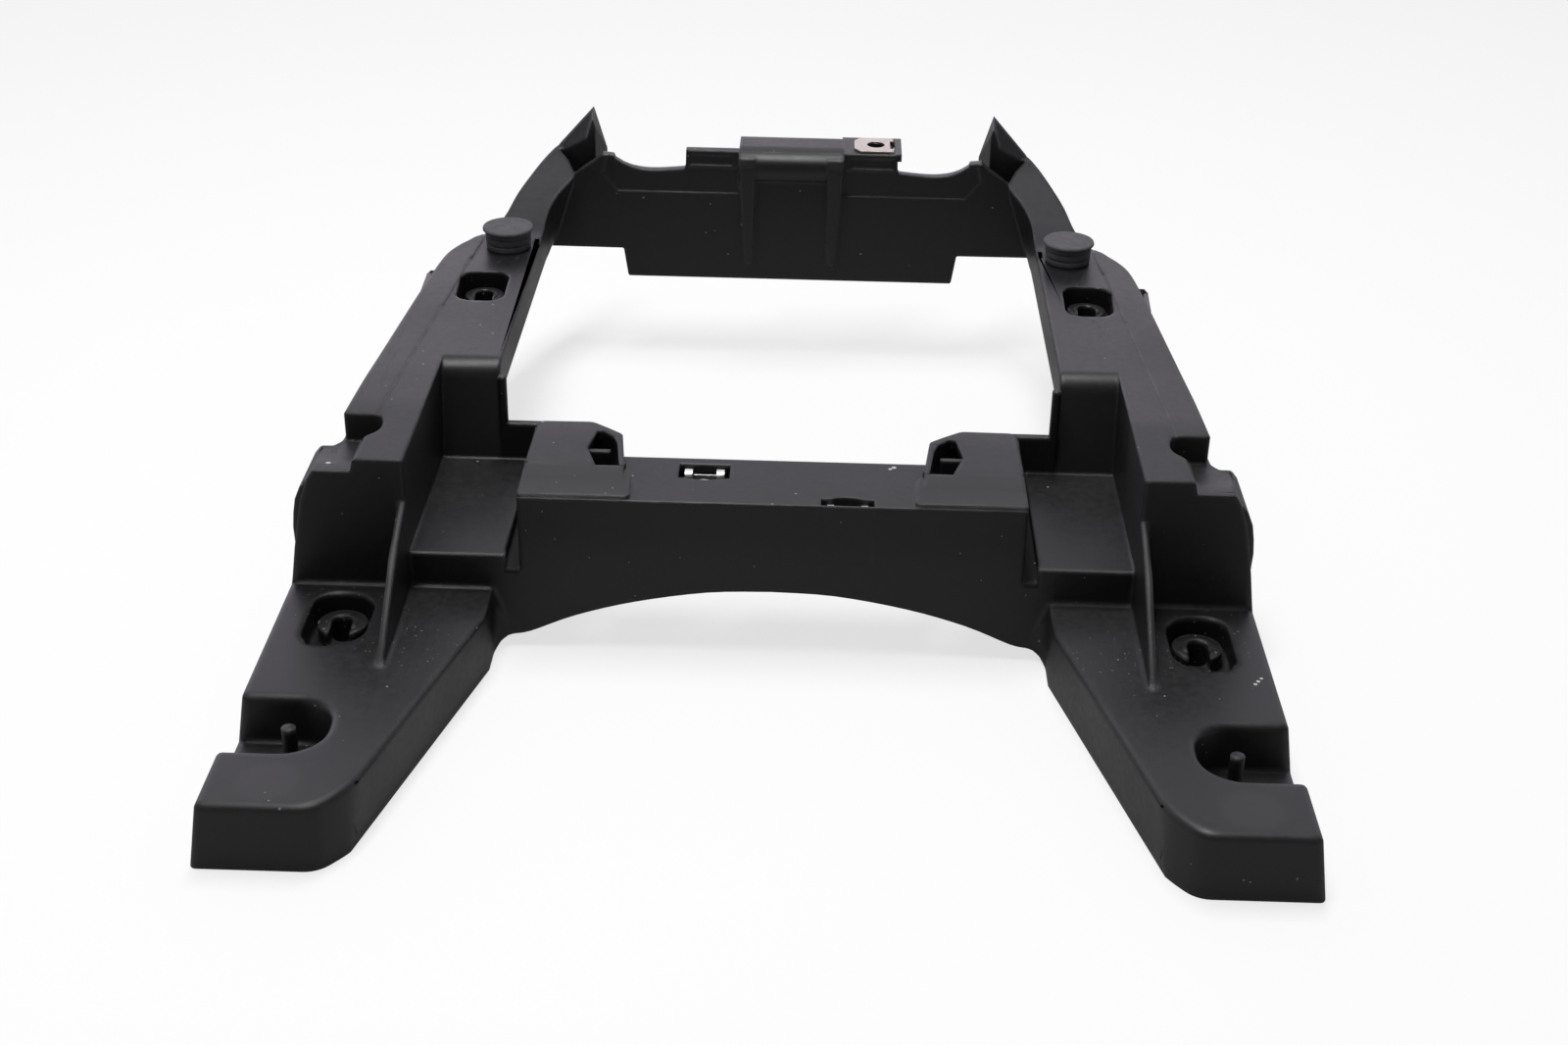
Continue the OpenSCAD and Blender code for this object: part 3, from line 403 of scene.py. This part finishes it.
# The ribs end flush with the foot's inner wall
def trim_ribs(mesh):
    for vert in mesh.verts:
        x, y, z = abs(vert.co.x), vert.co.y, vert.co.z
        if not 0.0015 < z < FOOT_DECK - 0.0001 or not any(near < y < far for near, far in WALL_RIBS):
            continue
        proud = (WALL_FACING[0] * (x - WALL_POINT[0]) + WALL_FACING[1] * (y - WALL_POINT[1])
                 + WALL_DRAFT * (FOOT_DECK - z))
        if 1e-6 < proud < MOST_PROUD:
            vert.co.x -= math.copysign(1.0, vert.co.x) * WALL_FACING[0] * proud
            vert.co.y -= WALL_FACING[1] * proud


# The shallow ejector marks are level with the deck, and only the finish shows them
def level_ejector_marks(mesh, depth=0.0003, x=0.1348, y=-0.174, reach=0.0105):
    for vert in mesh.verts:
        on_floor = abs(vert.co.z - (FOOT_DECK - depth)) < 0.00005
        if on_floor and math.hypot(abs(vert.co.x) - x, vert.co.y - y) < reach:
            vert.co.z = FOOT_DECK


def rounded_frame():
    mesh = bmesh.new()
    mesh.from_mesh(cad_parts["frame"].data)
    bmesh.ops.remove_doubles(mesh, verts=mesh.verts, dist=2e-6)
    trim_ribs(mesh)
    level_ejector_marks(mesh)
    bmesh.ops.remove_doubles(mesh, verts=mesh.verts, dist=5e-6)
    bmesh.ops.dissolve_degenerate(mesh, edges=mesh.edges, dist=1e-6)
    above_rim = [edge for edge in mesh.edges if not within(middle(edge), *FOOT_RIM)]
    bmesh.ops.dissolve_limit(mesh, angle_limit=SAME_FACE, verts=[], edges=above_rim,
                             use_dissolve_boundaries=False, delimit=set())
    for radius, _ in ROUNDED:
        bmesh.ops.bevel(mesh, geom=edges_to_round(mesh, radius), offset=radius / 1000,
                        offset_type="OFFSET", segments=ROUNDING_STEPS, profile=0.5, affect="EDGES",
                        clamp_overlap=False, loop_slide=True)
    bmesh.ops.triangulate(mesh, faces=mesh.faces)
    data = bpy.data.meshes.new("rounded_frame")
    mesh.to_mesh(data)
    mesh.free()
    piece = bpy.data.objects.new("rounded_frame", data)
    scene.collection.objects.link(piece)
    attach(piece, "root")
    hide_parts("frame")
    return piece


FINISHES = {"frame": moulded_charcoal(), "buffers": buffer_rubber(), "clip_nuts": zinc_clip()}
SHOWN = {"frame": rounded_frame(), "buffers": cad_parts["buffers"],
         "clip_nuts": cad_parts["clip_nuts"]}
for name, made in FINISHES.items():
    mesh = SHOWN[name].data
    mesh.materials.clear()
    mesh.materials.append(made)


# Smooth shading over the curved walls, crisp over the corners

def smooth_curves(limit=math.radians(24)):
    tree = bpy.data.node_groups.new("Smooth curved walls", "GeometryNodeTree")
    tree.interface.new_socket("Geometry", in_out="INPUT", socket_type="NodeSocketGeometry")
    tree.interface.new_socket("Geometry", in_out="OUTPUT", socket_type="NodeSocketGeometry")
    given = tree.nodes.new("NodeGroupInput")
    gives = tree.nodes.new("NodeGroupOutput")
    joined = add(tree, "GeometryNodeMergeByDistance", {"Geometry": given.outputs[0], "Distance": 0.000005})
    faces = add(tree, "GeometryNodeSetShadeSmooth", {"Geometry": joined.outputs[0], "Shade Smooth": True},
                {"domain": "FACE"})
    angle = tree.nodes.new("GeometryNodeInputMeshEdgeAngle")
    soft = add(tree, "FunctionNodeCompare", {"A": angle.outputs["Unsigned Angle"], "B": limit},
               {"data_type": "FLOAT", "operation": "LESS_EQUAL"})
    edges = add(tree, "GeometryNodeSetShadeSmooth", {"Geometry": faces.outputs[0],
                                                     "Shade Smooth": soft.outputs["Result"]},
                {"domain": "EDGE"})
    tree.links.new(edges.outputs[0], gives.inputs[0])
    return tree


smoothing = smooth_curves()
for piece in SHOWN.values():
    modifier = piece.modifiers.new("Smooth curved walls", "NODES")
    modifier.node_group = smoothing
    weighted = piece.modifiers.new("Large faces stay flat", "WEIGHTED_NORMAL")
    weighted.keep_sharp = True


# Floor, world, lamp and camera

def ray_kinds(tree):
    path = tree.nodes.new("ShaderNodeLightPath").outputs
    seen = calc(tree, "MAXIMUM", path["Is Camera Ray"], path["Is Transmission Ray"])
    return seen, path["Is Glossy Ray"]


# A pale plate that takes the shadow and is nearly as white as the background
def make_floor(reach=6.0, tone=0.30, lift_seen=0.70, lift_mirrored=0.12):
    mesh = bpy.data.meshes.new("floor")
    mesh.from_pydata([(-reach, -reach, 0), (reach, -reach, 0), (reach, reach, 0), (-reach, reach, 0)], [],
                     [(0, 1, 2, 3)])
    plate = bpy.data.objects.new("floor", mesh)
    scene.collection.objects.link(plate)
    made = bpy.data.materials.new("Pale studio floor")
    made.use_nodes = True
    tree = made.node_tree
    shader = tree.nodes["Principled BSDF"]
    shader.inputs["Base Color"].default_value = (tone, tone, tone, 1.0)
    shader.inputs["Roughness"].default_value = 0.9
    shader.inputs["Specular IOR Level"].default_value = 0.0
    shader.inputs["Emission Color"].default_value = (1.0, 1.0, 1.0, 1.0)
    seen, mirrored = ray_kinds(tree)
    strength = calc(tree, "ADD", calc(tree, "MULTIPLY", seen, lift_seen),
                    calc(tree, "MULTIPLY", mirrored, lift_mirrored))
    tree.links.new(strength, shader.inputs["Emission Strength"])
    mesh.materials.append(made)


# White to the camera; the rack sees a bright screen low behind it, fainter above and to the right
def make_world():
    world = bpy.data.worlds.new("Studio")
    scene.world = world
    world.use_nodes = True
    tree = world.node_tree
    back = tree.nodes["Background"]
    seen, mirrored = ray_kinds(tree)
    toward = split(tree, tree.nodes.new("ShaderNodeTexCoord").outputs["Generated"])
    screen = ramp(tree, toward["Y"], -0.25, 0.65, 0.12, 1.0)
    screen = calc(tree, "MULTIPLY", screen, ramp(tree, toward["Z"], 0.38, 0.66, 1.0, 0.30))
    screen = calc(tree, "MULTIPLY", screen, ramp(tree, toward["X"], 0.0, 0.5, 1.0, 0.60))
    gloss = calc(tree, "MULTIPLY", screen, 1.35)
    soft = calc(tree, "ADD", calc(tree, "MULTIPLY", screen, 0.45), 0.16)
    strength = choose(tree, seen, choose(tree, mirrored, soft, gloss), 1.0)
    tint = blend(tree, seen, (1.0, 0.955, 1.06, 1.0), (1.0, 1.0, 1.0, 1.0))
    tree.links.new(tint, back.inputs["Color"])
    tree.links.new(strength, back.inputs["Strength"])


def make_lamp(name, place, aim, size, power):
    data = bpy.data.lights.new(name, "AREA")
    data.shape = "RECTANGLE"
    data.size, data.size_y = size
    data.energy = power
    lamp = bpy.data.objects.new(name, data)
    lamp.location = place
    lamp.rotation_euler = (Vector(aim) - Vector(place)).to_track_quat("-Z", "Y").to_euler()
    scene.collection.objects.link(lamp)


# Where the photograph was taken from: place in metres, angles in degrees
def make_camera(place, yaw, pitch, roll, lens=50.0, sensor=36.0):
    yaw, pitch, roll = (math.radians(angle) for angle in (yaw, pitch, roll))
    level = Vector((math.sin(yaw), math.cos(yaw), 0))
    side = Vector((math.cos(yaw), -math.sin(yaw), 0))
    lift = Vector((0, 0, 1))
    ahead = level * math.cos(pitch) - lift * math.sin(pitch)
    up = level * math.sin(pitch) + lift * math.cos(pitch)
    right = side * math.cos(roll) + up * math.sin(roll)
    up = up * math.cos(roll) - side * math.sin(roll)
    data = bpy.data.cameras.new("camera")
    data.sensor_fit = "HORIZONTAL"
    data.sensor_width = sensor
    data.lens = lens
    camera = bpy.data.objects.new("camera", data)
    turn = Matrix((right, up, -ahead)).transposed().to_4x4()
    camera.matrix_world = Matrix.Translation(Vector(place)) @ turn
    scene.collection.objects.link(camera)
    scene.camera = camera


make_floor()
make_world()
make_lamp("overhead softbox", (-0.1, 0.02, 1.3), (0.0, -0.03, 0.03), (0.9, 0.28), 14.0)
make_camera((0.01411, -0.6590, 0.3735), yaw=-0.999, pitch=28.8, roll=1.125)
scene.view_settings.view_transform = "Standard"
